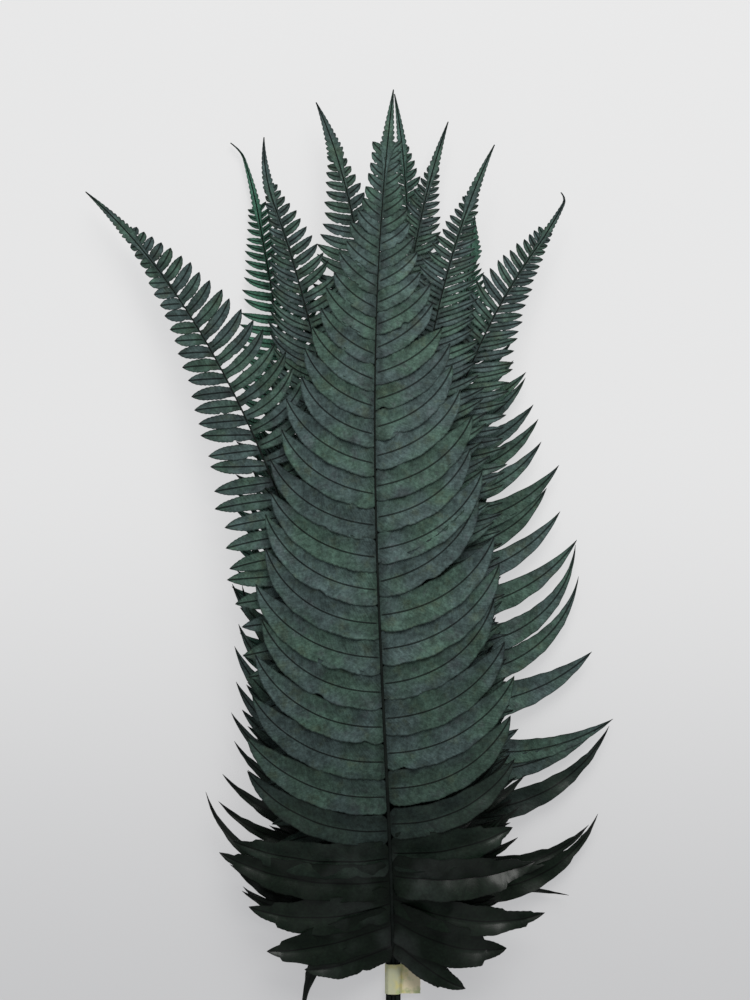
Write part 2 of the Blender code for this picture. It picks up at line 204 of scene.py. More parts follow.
# A blade's relief, as slopes from its midrib: both halves rise from it, and the lower one rises more.
# Then its edges, waves and swells, what changes on the old leaflets at the foot, and the point counts
# of the tails and stems
FOLD = 0.10
FOLD_OLD = 0.26
SHINGLE = 0.065
PUFF_OLD = 0.13
ROOT_FADE = 5.0
RUFFLE = 0.36
SWELL = 0.35
SWELL_OLD = 1.6
TOOTH = 0.16
TOOTH_PITCH = 2.6
NICK_SHARE = 0.4
NICK_DEPTH = 2.4
FREE_GAP = 6.6
BARB_PITCH = 17.0
TORN = 0.32
OLD_FROM = 0.82
OLD_OVER = 0.08
WAVE_SHARE = 0.03
WAVE_LENGTH = 17
RUFFLE_LENGTH = 12.5
RIPPLE_LENGTH = 7.3
SWELL_LENGTH = 27
JOIN_FADE = 1.8
ROOT_TURN = 0.45
WAIST_END = 0.35
CORNER_LENGTH = 4.0
CORNER_CUT = 0.16
CORNER_CUT_OLD = 0.34
VEIN_DEG = 52
TAIL_GRID = (170, 7)
STEM_SIDES = 10
STEM_POINTS = 260
STEM_TIP = 0.6

# The tape's strip: its half width, thickness, stand-off from the stems and points across, how far the
# two layers of its flag lie from their middle, and its colours
STRIP_HALF_WIDTH = 8.95
STRIP_THICK = 0.24
STRIP_STAND_OFF = 0.34
STRIP_ACROSS = 15
FLAG_HALF_GAP = 0.17
TAPE_CREAM = (0.50, 0.51, 0.34)
FLAG_CREAM = (0.86, 0.76, 0.52)
DYE_YELLOW = (0.70, 0.60, 0.18)
DYE_GREEN = (0.26, 0.42, 0.13)

# The studio, in metres
FLOOR_SIDE = 8.0
FLOOR_LEVEL = -0.0002
FLOOR_COLOUR = (0.18, 0.18, 0.179)
# The floor's painted light: it glows, brighter beyond the tips than near the tie, as if lit from there
FLOOR_GLOW_NEAR = (0.408, 0.409, 0.418)
FLOOR_GLOW_FAR = (0.602, 0.602, 0.606)
SKY_COLOUR = (0.9, 0.92, 0.95)
SKY_STRENGTH = 0.40
WINDOW_PLACE = (0.3, 1.4, 1.5)
WINDOW_SIDE = 1.3
WINDOW_POWER = 40.0
CAMERA_HEIGHT = 1.55
VIEW_HEIGHT = 0.6047
SENSOR_HEIGHT = 36.0

# The middle of the view, in millimetres from the tape's middle
VIEW_MIDDLE = (-7.8, 288.6)


def ease(t):
    """0 below 0, 1 above 1, and a smooth step between."""
    t = np.clip(t, 0.0, 1.0)
    return t * t * (3 - 2 * t)


def level_gap(x, y):
    """Height between two levels of the pile: it grows away from the tie and shrinks to the sides."""
    out = np.hypot(x, y)
    gap = LEVEL_GAP * (1 - np.exp(-(out + LEVEL_START) / LEVEL_GROWTH))
    return gap * (1 - 0.3 * (y / BUNCH_LENGTH) ** 3) / (1 + (x / PILE_HALF_WIDTH) ** 2)


def sheet_height(x, y, level):
    """Height of a frond's underside: the lowest frond is a low arch, and the others lie above it."""
    out = np.hypot(x, y)
    arch = LOWEST_RISE * (1 - np.exp(-out / LOWEST_GROWTH)) * (1 - 0.95 * (y / BUNCH_LENGTH) ** 2)
    side = np.clip(1 - (x / LOWEST_HALF_WIDTH) ** 2, 0, None)
    return arch * side + level * level_gap(x, y)


class Rib:
    """The line that a frond's stem and rib follow, measured as a distance from the frond's tip: a
    straight stretch through the tie, then a cubic Bezier curve whose end may hook sideways."""

    def __init__(self, frond):
        seat = frond["seat"]
        self.level = frond["level"]
        self.seat = (TIE_X + seat[0] * STEM_PITCH, TIE_HEIGHT + seat[1] * ROW_PITCH)
        cut = np.linspace(-STEM_BELOW, STEM_ABOVE, 24)
        splay = STEM_SPLAY * seat[0] * STEM_PITCH * np.clip(-cut / STEM_BELOW, 0, 1) ** 2
        straight = np.column_stack([self.seat[0] + splay, cut])
        t = np.linspace(0, 1, 240)[1:, None]
        start = np.array([self.seat[0], STEM_ABOVE])
        curve = start * (1 - t) ** 3 + np.array(frond["bend"]) * 3 * t * (1 - t) ** 2
        curve = curve + np.array(frond["shoulder"]) * 3 * t**2 * (1 - t) + np.array(frond["tip"]) * t**3
        line = np.vstack([straight, curve])
        left = np.append(np.cumsum(np.hypot(*np.diff(line[::-1], axis=0).T))[::-1], 0.0)
        line[:, 0] += frond["hook"] * np.clip(1 - left / HOOK_LENGTH, 0, 1) ** 2
        line[:, 0] += frond.get("curl", 0) * np.clip(1 - left / CURL_LENGTH, 0, 1) ** 2
        self.line, self.left = line[::-1], left[::-1]
        self.length = float(left[0])

    def at(self, distance):
        """Planar points at these distances from the tip."""
        return np.stack([np.interp(distance, self.left, self.line[:, i]) for i in (0, 1)], axis=-1)

    def along(self, distance):
        """Unit vectors along the rib, towards the tip."""
        step = self.at(distance - 1.5) - self.at(distance + 1.5)
        return step / np.linalg.norm(step, axis=-1, keepdims=True)

    def radius(self, distance):
        """The stem tapers from the tie to the tip."""
        return RIB_R_TIP + (STEM_R - RIB_R_TIP) * np.minimum(1.0, distance / (0.8 * self.length)) ** 1.3

    def lift(self, distance):
        """How far the rib lies above or below its own level: it leaves the tie and joins its level."""
        x, y = np.moveaxis(self.at(distance), -1, 0)
        middle = sheet_height(x, y, self.level) + RIB_HEIGHT
        over = FAN_OUT - FAN_OUT_PER_LEVEL * self.level
        return (self.seat[1] - middle) * (1 - ease((y - STEM_ABOVE + 3) / over))

    def height(self, distance):
        """Height of the rib's middle."""
        x, y = np.moveaxis(self.at(distance), -1, 0)
        return sheet_height(x, y, self.level) + RIB_HEIGHT + self.lift(distance)


def leaflet_places(foot, first, spacing):
    """Distances from the tip at which the leaflets stand, foot first, and the room that each has."""
    places, rooms = [first], []
    while places[-1] < foot:
        crowded = 1 - CROWDING * float(ease((places[-1] / foot - 0.82) / 0.08))
        rooms.append(float(np.interp(places[-1], SPACING_AT, spacing)) * crowded)
        places.append(places[-1] + rooms[-1])
    rooms.append(rooms[-1])
    scale = (foot - first) / (places[-1] - first)
    places = first + (np.array(places) - first) * scale
    return places[::-1], np.array(rooms)[::-1] * scale


def leaflet_profile(share, full, power):
    """Leaflet length along the frond: short at the tip, longest from here on, shorter at the foot."""
    rise = np.sin(math.pi / 2 * np.clip((share - 0.03) / (full - 0.03), 0, 1)) ** power
    return rise * (1 - 0.2 * np.clip((share - 0.85) / 0.15, 0, 1) ** 2)


def shell_quads(rows, across):
    """Quads of one closed blade of rows x (across above and across below), capped at both ends."""
    loop = 2 * across
    i = np.arange(rows - 1)[:, None] * loop
    j = np.arange(loop)[None, :]
    k = (j + 1) % loop
    sides = np.stack([i + j, i + k, i + loop + k, i + loop + j], axis=-1).reshape(-1, 4)
    j = np.arange(across - 1)
    cap = np.stack([j, loop - 1 - j, loop - 2 - j, j + 1], axis=-1)
    return np.vstack([sides, cap, cap[:, ::-1] + (rows - 1) * loop])


def shells(upper, values, flip):
    """Closes blades given by their upper faces [blade, row, across, xyz]: each gets an underside one
    blade's thickness below. Returns points, quads and the attributes repeated for both faces."""
    count, rows, across = upper.shape[:3]
    lower = upper[:, :, ::-1] - [0, 0, BLADE_THICK]
    points = np.concatenate([upper, lower], axis=2).reshape(-1, 3)
    quads = shell_quads(rows, across)
    if flip:
        quads = quads[:, ::-1]
    starts = np.arange(count)[:, None, None] * rows * across * 2
    quads = (quads[None] + starts).reshape(-1, 4)
    spread = {}
    for key, value in values.items():
        value = np.broadcast_to(value, upper.shape[:3])
        spread[key] = np.concatenate([value, value[:, :, ::-1]], axis=2).ravel()
    return points, quads, spread


def leaflets(name, frond, rib, side, foot, rng):
    """All leaflets on one side of a frond. Each midrib is an arc whose heading turns from its root
    angle to its tip angle, the blade tapers by a power of the share of the way out, its root is cut
    along the rib, and its two halves rise from the midrib with ruffled, finely toothed edges. The old
    leaflets at the foot are broader, torn towards their tips and swell up and down."""
    place, room = leaflet_places(foot, frond["first"], frond["rooms"])
    count = len(place)
    share = place / foot
    hand = (side + 1) // 2
    near_tip, lower_down, taper_power, squeeze, waist = frond["blade"]
    start = np.interp(share, HABIT_SHARE, HABIT_ROOT_DEG)
    turn = (np.interp(share, HABIT_SHARE, HABIT_TIP_DEG) - start) * frond["sweep"][hand]
    start = start + frond["slant"][hand] * (1 - share**4) + rng.normal(0, 1.5, count)
    turn = turn + rng.normal(0, 3.0, count)
    length = frond["reach"][hand] * leaflet_profile(share, frond["full"], frond["power"][hand])
    length = length * (1 + rng.normal(0, 0.03, count))
    length = length + frond.get("early", 0) * np.exp(-(place - frond["first"]) / EARLY_FADE)
    fill = np.interp(share, (0.1, 0.4), (near_tip, lower_down)) * (1 + rng.normal(0, 0.03, count))
    broad = fill * room / 2
    for (owner, at_side, height), (root_deg, tip_deg, long, wide) in STRAYS.items():
        if (owner, at_side) == (name, side):
            pair = np.argmin(np.abs(rib.at(place)[:, 1] - height))
            start[pair], turn[pair], length[pair], broad[pair] = root_deg, tip_deg - root_deg, long, wide
    place = place - side * STAGGER * room

    rows, across = frond["grid"]
    u = np.linspace(0, 1, rows)[None, :]
    v = np.linspace(-1, 1, across)[None, None, :]
    angle = np.radians(start[:, None] + turn[:, None] * u**1.2)
    ahead = rib.along(place)[:, None]
    out = side * np.stack([ahead[..., 1], -ahead[..., 0]], axis=-1)
    cosine, sine = np.cos(angle)[..., None], np.sin(angle)[..., None]
    heading = cosine * out + sine * ahead
    step = (heading[:, 1:] + heading[:, :-1]) / 2 * (length / (rows - 1))[:, None, None]
    path = np.concatenate([np.zeros((count, 1, 2)), np.cumsum(step, axis=1)], axis=1)
    path = path + rib.at(place)[:, None] + out * (rib.radius(place) * 0.6)[:, None, None]

    reach = length[:, None] * u
    wide = broad[:, None] * np.clip(np.cos(angle), 0.2, 1) ** squeeze
    root = np.exp(-reach / (ROOT_TURN * broad[:, None]))[..., None]
    upward = (cosine * ahead - sine * out) * (1 - root) + ahead * root
    taper = 1 - u**taper_power
    belly = 1 - waist * (1 - ease(u / WAIST_END))
    web = 1 - ease((share[:, None] - 0.2) / 0.25)
    join = np.clip(room[:, None] / 2 - wide * belly, 0, None) * np.exp(-reach / JOIN_FADE) * web
    cut = CORNER_CUT + CORNER_CUT_OLD * ease((share[:, None] - 0.78) / 0.12)
    corner = 1 - cut * np.clip(1 - reach / CORNER_LENGTH, 0, 1) ** 2
    half = wide * taper * belly * corner + join + 0.06
    phase = rng.uniform(0, 2 * math.pi, (6, count, 1))
    tooth = TOOTH * np.minimum(1, half / 4) * np.sin(2 * math.pi * reach / TOOTH_PITCH + phase[0])
    wave = WAVE_SHARE * half * np.sin(2 * math.pi * reach / WAVE_LENGTH + phase[1])
    nick_at = rng.uniform(0.05, 0.45, (count, 1))
    nick = np.exp(-(((u - nick_at) / 0.035) ** 2)) * NICK_DEPTH * (rng.random((count, 1)) < NICK_SHARE)
    nick = nick * rng.uniform(0.3, 1.0, (count, 1)) * np.minimum(1, half / 7)
    old = ease((share[:, None] - OLD_FROM) / OLD_OVER)
    torn = old * TORN * ease((u - 0.62) / 0.22)
    barbs = [1 - torn * (1 - (reach / BARB_PITCH + phase[i] / 6.3) % 1.0) for i in (4, 5)]
    low = np.maximum((half + tooth + wave) * barbs[0] - nick, 0.05)
    high = np.maximum((half + tooth - wave) * barbs[1] + frond["lap"] * taper * (1 - web), 0.05)
    w = np.where(v < 0, v * low[..., None], v * high[..., None])
    xy = path[:, :, None] + upward[:, :, None] * w[..., None]

    x, y = xy[..., 0], xy[..., 1]
    gap = np.minimum(1, level_gap(x, y) / FREE_GAP)
    fade = (1 - np.exp(-reach / ROOT_FADE))[..., None]
    width = half[..., None]
    tilt = SHINGLE * (1 + rng.normal(0, 0.35, (count, 1, 1)))
    fold = (FOLD + FOLD_OLD * old[..., None]) * (1 + rng.normal(0, 0.25, (count, 1, 1)))
    relief = fold * np.abs(v) ** 1.25 * width - tilt * w
    edge = np.sin(2 * math.pi * reach / RUFFLE_LENGTH + phase[2])[..., None] * np.where(v < 0, 1, -0.6)
    edge = edge + 0.7 * np.sin(2 * math.pi * reach / RIPPLE_LENGTH + phase[3])[..., None]
    relief = relief + RUFFLE * edge * v**2 * np.minimum(1, width / 5)
    relief = relief + PUFF_OLD * old[..., None] * width * (1 - (2 * np.abs(v) - 1) ** 2)
    swell = (SWELL + SWELL_OLD * old)[..., None] * np.minimum(1, width / 6)
    rolling = 2 * math.pi * reach[..., None] / SWELL_LENGTH + phase[4][..., None] + 0.9 * v
    relief = relief + swell * np.sin(rolling)
    sink = rib.lift(place)[:, None, None] * (1 - u[..., None]) ** 2
    z = sheet_height(x, y, rib.level) + BLADE_THICK + 0.2 + sink + relief * fade * gap
    z = np.maximum(z, BLADE_THICK + 0.05)
    upper = np.concatenate([xy, z[..., None]], axis=-1)

    values = {
        "off": w,
        "rim": np.minimum(w + low[..., None], high[..., None] - w),
        "reach": np.broadcast_to(reach[..., None], w.shape),
        "tone": rng.random((count, 1, 1)),
        "age": share[:, None, None] * np.ones_like(w),
        # painted backlight: how much paler green, standing in for light shining through, each leaflet
        # gets
        "painted_backlight": np.interp(place, PAINTED_BACKLIGHT_AT, frond["painted_backlight"])[:, None, None] * np.ones_like(w),
    }
    return shells(upper, values, flip=side < 0)


def tail(frond, rib):
    """The frond's tip, a narrow blade across the rib. Its half width grows as a power of the distance
    from the tip until the first leaflets, then shrinks to a wing along the rib. Its edges have lobes, a
    rounded sine that gets deeper, and lean towards the tip."""
    rows, across = TAIL_GRID
    d = np.linspace(WING_END, 0, rows)[:, None]
    v = np.linspace(-1, 1, across)[None, :]
    grown = 0.3 + TAIL_HALF_WIDTH * frond["tail"] * (np.minimum(d, frond["first"]) / TAIL_WIDE_AT) ** 1.1
    past = np.clip(d - frond["first"], 0, None)
    half = WING + (grown - WING) * np.exp(-past / 7.0)
    half = np.where(d < frond["first"], grown, half)
    lobes = np.abs(np.sin(math.pi * d / TAIL_LOBE + np.where(v > 0, 0.6, 0)))
    depth = np.clip(0.06 + 0.34 * d / frond["first"], 0, 0.4) * np.exp(-past / 7.0)
    half = half * (1 - depth * (1 - lobes**0.7))
    w = v * half
    back = np.maximum(d - 0.6 * np.abs(w), 0)
    ahead = rib.along(d[:, 0])[:, None]
    right = np.stack([ahead[..., 1], -ahead[..., 0]], axis=-1)
    xy = rib.at(back) + right * w[..., None]
    z = sheet_height(xy[..., 0], xy[..., 1], rib.level) + BLADE_THICK + 0.15 + 0.1 * np.abs(w)
    upper = np.concatenate([xy, z[..., None]], axis=-1)[None]
    values = {
        "off": np.abs(w) + 0.15,
        "rim": half - np.abs(w),
        "reach": WING_END - d + 0 * w,
        "tone": np.full(w.shape, 0.5),
        "age": np.zeros_like(w),
        # painted backlight of the tail, as on the leaflets at the tip
        "painted_backlight": np.full(w.shape, float(frond["painted_backlight"][0])),
    }
    return shells(upper, values, flip=False)


def tube(rib):
    """Stem and rib: a ring of points carried along the rib's line and capped at both ends."""
    sides = STEM_SIDES
    d = np.unique(np.concatenate([np.linspace(STEM_TIP, rib.length, STEM_POINTS), [rib.length - 0.4]]))
    centre, ahead = rib.at(d), rib.along(d)
    right = np.stack([ahead[:, 1], -ahead[:, 0]], axis=-1)
    turn = 2 * math.pi * np.arange(sides) / sides
    radius = rib.radius(d)[:, None] * np.where(d > rib.length - 0.3, 0.8, 1.0)[:, None]
    xy = centre[:, None] + right[:, None] * (radius * np.cos(turn))[..., None]
    z = rib.height(d)[:, None] + radius * np.sin(turn)
    points = np.concatenate([xy, z[..., None]], axis=-1)
    i = np.arange(len(d) - 1)[:, None] * sides
    j = np.arange(sides)[None]
    k = (j + 1) % sides
    quads = np.stack([i + j, i + k, i + sides + k, i + sides + j], axis=-1).reshape(-1, 4)
    centres = np.array([[*rib.at(d[0]), rib.height(d[0])], [*rib.at(d[-1]), rib.height(d[-1])]])
    points = np.vstack([points.reshape(-1, 3), centres])
    last, j, k = (len(d) - 1) * sides, np.arange(sides), (np.arange(sides) + 1) % sides
    tips = np.stack([k, j, np.full(sides, len(points) - 2)], axis=-1)
    cuts = np.stack([last + j, last + k, np.full(sides, len(points) - 1)], axis=-1)
    cut = np.append(np.repeat(d, sides) * 0, [0.0, 1.0])
    down = np.append(np.repeat(d, sides), [d[0], d[-1]])
    return points, quads, np.vstack([tips, cuts]), {"cut": cut, "down": down}


def tape_middle():
    """Where the tape's middle lies in the frame, from the box of its solid."""
    low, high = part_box("tape")
    ring = 1.5 * STEM_PITCH + (STEM_R + SEAT_GAP + TAPE_THICK) * math.cos(math.pi / TAPE_SIDES)
    return np.array([low.x / MM + ring - TIE_X, (low.y + high.y) / 2 / MM, 0])


def add_piece(name, points, quads, tris, values, finishes, node):
    """A mesh from arrays in millimetres, which rides with the bunch and stands for a node."""
    mesh = bpy.data.meshes.new(name)
    corners = np.concatenate([quads.ravel(), tris.ravel()])
    starts = np.concatenate([np.arange(len(quads)) * 4, quads.size + np.arange(len(tris)) * 3])
    mesh.vertices.add(len(points))
    mesh.vertices.foreach_set("co", ((points + tape_middle()) * MM).astype(np.float32).ravel())
    mesh.loops.add(len(corners))
    mesh.loops.foreach_set("vertex_index", corners.astype(np.int32))
    mesh.polygons.add(len(starts))
    mesh.polygons.foreach_set("loop_start", starts.astype(np.int32))
    mesh.update(calc_edges=True)
    for key, value in values.items():
        layer = mesh.attributes.new(key, "FLOAT", "POINT")
        layer.data.foreach_set("value", np.asarray(value, np.float32).ravel())
    for finish in finishes:
        mesh.materials.append(finish)
    mesh.shade_smooth()
    mesh.set_sharp_from_angle(angle=math.radians(50))
    piece = bpy.data.objects.new(name, mesh)
    bpy.context.scene.collection.objects.link(piece)
    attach(piece, "root")
    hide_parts(node)
    return piece


class Value:
    """A shader socket. Arithmetic on it adds Math nodes."""

    def __init__(self, graph, socket):
        self.graph, self.socket = graph, socket

    def _math(self, operation, first, second):
        return self.graph.node("ShaderNodeMath", {"operation": operation}, {0: first, 1: second})

    def __add__(self, other):
        return self._math("ADD", self, other)

    def __sub__(self, other):
        return self._math("SUBTRACT", self, other)

    def __rsub__(self, other):
        return self._math("SUBTRACT", other, self)

    def __mul__(self, other):
        return self._math("MULTIPLY", self, other)

    __radd__ = __add__
    __rmul__ = __mul__


class Graph:
    """The nodes of one material with a Principled shader."""

    def __init__(self, name, **constants):
        self.material = bpy.data.materials.new(name)
        self.material.use_nodes = True
        self.tree = self.material.node_tree
        self.shader = self.tree.nodes["Principled BSDF"]
        for key, value in constants.items():
            self.shader.inputs[key.replace("_", " ")].default_value = value

    def node(self, kind, settings=None, inputs=None, output=0):
        """A node with its settings, then its sockets' values or links, as the value of one output."""
        made = self.tree.nodes.new(kind)
        for key, value in (settings or {}).items():
            setattr(made, key, value)
        for key, value in (inputs or {}).items():
            if isinstance(value, Value):
                self.tree.links.new(value.socket, made.inputs[key])
            else:
                made.inputs[key].default_value = value
        return Value(self, made.outputs[output])

    def attribute(self, name):
        return self.node("ShaderNodeAttribute", {"attribute_name": name}, output="Fac")

    def place(self):
        return self.node("ShaderNodeTexCoord", output="Object")

    def vector(self, x, y, z):
        return self.node("ShaderNodeCombineXYZ", None, {0: x, 1: y, 2: z})

    def shifted(self, vector, by):
        return self.node("ShaderNodeVectorMath", {"operation": "ADD"}, {0: vector, 1: by})

    def noise(self, vector, scale, detail=3.0, roughness=0.55):
        inputs = {"Vector": vector, "Scale": scale, "Detail": detail, "Roughness": roughness}
        return self.node("ShaderNodeTexNoise", None, inputs)

    def step(self, value, low, high):
        """0 below low, 1 above high and smooth between. Low may be the larger one."""
        inputs = {"Value": value, "From Min": low, "From Max": high}
        return self.node("ShaderNodeMapRange", {"interpolation_type": "SMOOTHSTEP"}, inputs)

    def mix(self, factor, first, second, blend="MIX"):
        """Colours mixed by a factor."""
        colours = [(*c, 1.0) if isinstance(c, tuple) else c for c in (first, second)]
        inputs = {0: factor, 6: colours[0], 7: colours[1]}
        return self.node("ShaderNodeMix", {"data_type": "RGBA", "blend_type": blend}, inputs, 2)

    def feed(self, socket, value):
        self.tree.links.new(value.socket, self.shader.inputs[socket])

    def bump(self, height, distance, strength=1.0):
        """Height in millimetres of relief as a Bump node that feeds Normal."""
        inputs = {"Height": height, "Distance": distance * MM, "Strength": strength}
        self.feed("Normal", self.node("ShaderNodeBump", None, inputs))


def leaf_finish(name, blue, green, olive, mauve, painted_backlight_green, aged, painted_sheen_colour):
    """A preserved blade: dull blue-green with olive and mauve blotches, a dark midrib in a groove,
    slanting side veins, a dark rim that is partly the edge's own browning and partly painted shadow
    where blades overlap, and a darker, glossier surface on the low, old leaflets, which have a painted
    blue-grey sheen near the rib as a highlight. Painted shade darkens each blade's upper half, its root
    by the rib and the blades towards the foot, and a paler green painted on some fronds stands in for
    light shining through them."""
    g = Graph(name, Specular_IOR_Level=0.12, Metallic=0.0, Coat_Roughness=0.3)
    off, rim, reach = g.attribute("off"), g.attribute("rim"), g.attribute("reach")
    tone, age, painted_backlight = g.attribute("tone"), g.attribute("age"), g.attribute("painted_backlight")
    away = g.node("ShaderNodeMath", {"operation": "ABSOLUTE"}, {0: off})
    own = g.shifted(g.place(), g.vector(tone * 3.1, tone * 7.7, tone * 5.3))
    broad = g.noise(own, 34.0, 2.0)
    blotch = g.noise(g.shifted(own, (4.0, 1.0, 2.0)), 90.0, 4.0, 0.65)
    patch = g.noise(g.shifted(own, (9.0, 3.0, 7.0)), 130.0, 4.0, 0.7)
    wrinkle = g.noise(own, 480.0, 3.0, 0.65)
    grain = g.noise(own, 1300.0, 2.0, 0.7)
    sine, cosine = math.sin(math.radians(VEIN_DEG)), math.cos(math.radians(VEIN_DEG))
    vein_across = reach * sine - away * cosine + patch * 3.0
    vein_along = reach * cosine + away * sine
    streak = g.noise(g.vector(vein_across * 0.55, vein_along * 0.12, tone * 40.0), 1.0, 3.0, 0.6)
    ridge = g.node("ShaderNodeMath", {"operation": "SINE"}, {0: vein_across * 4.2 + streak * 4.0})

    colour = g.mix(g.step(broad, 0.4, 0.62), blue, green)
    colour = g.mix(g.step(blotch, 0.52, 0.7) * 0.42, colour, olive)
    colour = g.mix(g.step(blotch, 0.47, 0.3) * 0.42, colour, mauve)
    # painted backlight: a paler green that stands in for light shining through these fronds
    colour = g.mix(painted_backlight * 0.9, colour, painted_backlight_green)
    old = g.step(age, 0.77, 0.91)
    colour = g.mix(old * 0.97, colour, aged)
    # painted highlight: a blue-grey sheen on the old leaflets near the rib
    sheen = g.step(broad, 0.44, 0.66) * g.step(reach, 52.0, 10.0) * old
    colour = g.mix(sheen * 0.22, colour, painted_sheen_colour)
    shade = 0.84 + tone * 0.32
    shade = shade * (1 + (g.step(patch, 0.32, 0.68) - 0.5) * (0.58 - old * 0.34))
    shade = shade * (0.76 + g.step(wrinkle, 0.3, 0.7) * 0.58)
    shade = shade * (0.74 + streak * 0.58)
    shade = shade * (0.84 + grain * 0.32)
    # painted shade: each blade's upper half is darker, as if shaded by the blade above and turned from
    # the light
    shade = shade * (1 - g.step(off, 0.2, 4.0) * 0.16)
    # painted shade: the blades darken towards the foot, where the light falls off
    shade = shade * (1 - g.step(age, 0.5, 0.85) * 0.2)
    line = 0.08 + wrinkle * 0.42
    midrib = g.step(away - line, 0.34, -0.02) * g.step(reach, 0.0, 2.0)
    shade = shade * (1 - midrib * 0.82)
    # a dark rim along each edge: partly the edge's own browning, partly painted shadow where a blade
    # laps over the next
    shade = shade * (1 - g.step(rim - line, 0.45, 0.0) * 0.5)
    # painted shade: darker over the first millimetres from the root, where the blade meets the rib
    shade = shade * (0.6 + g.step(reach, 0.5, 7.0) * 0.4)
    grey = g.node("ShaderNodeCombineColor", None, {0: shade, 1: shade, 2: shade})
    g.feed("Base Color", g.mix(1.0, colour, grey, "MULTIPLY"))
    g.feed("Roughness", 0.66 - old * 0.14 + grain * 0.1 - streak * 0.12)
    g.feed("Coat Weight", old * g.step(broad, 0.42, 0.66) * 0.35)
    fine = ridge * 0.03 + streak * 0.2 + wrinkle * 0.16 + grain * 0.03 - midrib * 0.2
    g.bump(fine * (1 - old * 0.85) + patch * (0.8 - old * 0.35), 1.0)
    return g.material


def stem_finish(name, bark, pith):
    """Stems and ribs: near-black, ridged lengthwise, with paler pith on the cut ends."""
    g = Graph(name, Specular_IOR_Level=0.1, Metallic=0.0)
    cut = g.step(g.attribute("cut"), 0.05, 0.3)
    spot = g.node("ShaderNodeMapping", None, {"Vector": g.place(), "Scale": (1.0, 0.05, 1.0)})
    ridges = g.noise(spot, 1600.0, 3.0)
    stain = g.noise(g.place(), 120.0, 3.0)
    colour = g.mix(g.step(stain, 0.4, 0.65), bark, tuple(1.7 * c for c in bark))
    g.feed("Base Color", g.mix(cut, colour, pith))
    g.feed("Roughness", 0.6 + stain * 0.2)
    g.bump(ridges, 0.12)
    return g.material


def tape_path():
    """The strip's way in its cross-section: out from the flag's end, round the stems, and back."""
    seats = ((1.5, 0), (1, 1), (-1, 1), (-1.5, 0), (-1, -1), (1, -1))
    centres = np.array([(across * STEM_PITCH, row * ROW_PITCH) for across, row in seats])
    turns = np.linspace(0.06, 2 * math.pi - 0.06, 90)
    normals = np.column_stack([np.cos(turns), np.sin(turns)])
    soft = 14.0
    weights = np.exp(soft * (normals @ centres.T) / 3.3)
    middle = (weights[..., None] * centres).sum(1) / weights.sum(1)[:, None]
    loop = middle + normals * (STEM_R + SEAT_GAP + STRIP_STAND_OFF)
    reach = np.linspace(1, 0.02, 16)[:, None]
    flag = np.hstack([loop[:1, :1] + reach * FLAG_LENGTH, -FLAG_DROOP * reach**2])
    apart = [0, FLAG_HALF_GAP]
    return np.vstack([flag + apart, loop, flag[::-1] - apart])


def tape_piece(finish):
    """The tape as one strip, its cross-section's path carried over its width, with crinkled edges."""
    path = tape_path()
    across = STRIP_ACROSS
    step = np.gradient(path, axis=0)
    normal = np.stack([step[:, 1], -step[:, 0]], axis=-1)
    normal = normal / np.linalg.norm(normal, axis=-1, keepdims=True)
    run = np.append(0, np.cumsum(np.hypot(*np.diff(path, axis=0).T)))
    v = np.linspace(-1, 1, across)
    out = np.clip(path[:, :1] - 5.3, 0, None) / FLAG_LENGTH
    crinkle = 0.035 * np.sin(run[:, None] * 1.9 + v * 2.2) + 0.03 * np.sin(run[:, None] * 0.8 - v * 4.0)
    sag = 0.35 * out**2 * np.sin(v * 1.4 + 0.5)
    face = path[:, None] + normal[:, None] * crinkle[..., None] + np.stack([0 * sag, sag], axis=-1)
    y = STRIP_HALF_WIDTH * v + 0 * run[:, None] + out * 0.25 * v
    x = face[..., 0] - 0.35 * out * np.abs(np.sin(v * 9.0))
    upper = np.stack([x, y, face[..., 1]], axis=-1)
    inward = np.stack([normal[:, None, 0] + 0 * v, 0 * y, normal[:, None, 1] + 0 * v], axis=-1)
    under = upper - STRIP_THICK * inward
    rows = len(path)
    points = np.concatenate([upper, under[:, ::-1]], axis=1).reshape(-1, 3) + [TIE_X, 0, TIE_HEIGHT]
    value = np.broadcast_to(run[:, None], (rows, 2 * across))
    no_tris = np.zeros((0, 3), int)
    quads = shell_quads(rows, across)
    values = {"run": value}
    add_piece("tape_strip", points, quads, no_tris, values, [finish], "tape")


def tape_finish():
    """Cream crepe tape that the dye has stained green and yellow, more so towards the stems."""
    g = Graph("tape_cream", Specular_IOR_Level=0.4, Metallic=0.0)
    place = g.place()
    green = g.step(g.noise(place, 120.0, 3.0), 0.52, 0.68)
    yellow = g.step(g.noise(g.shifted(place, (3.0, 5.0, 1.0)), 90.0, 2.0), 0.5, 0.65)
    flag = g.step(g.attribute("run"), 12.0, 10.0) + g.step(g.attribute("run"), 36.0, 40.0)
    colour = g.mix(flag, TAPE_CREAM, FLAG_CREAM)
    colour = g.mix(yellow * 0.6, colour, DYE_YELLOW)
    colour = g.mix(green * 0.6, colour, DYE_GREEN)
    spot = g.node("ShaderNodeMapping", None, {"Vector": place, "Scale": (1.0, 0.15, 1.0)})
    crepe = g.noise(spot, 2200.0, 3.0)
    g.feed("Base Color", colour)
    g.feed("Roughness", 0.5 + crepe * 0.2)
    g.bump(crepe, 0.12)
    return g.material


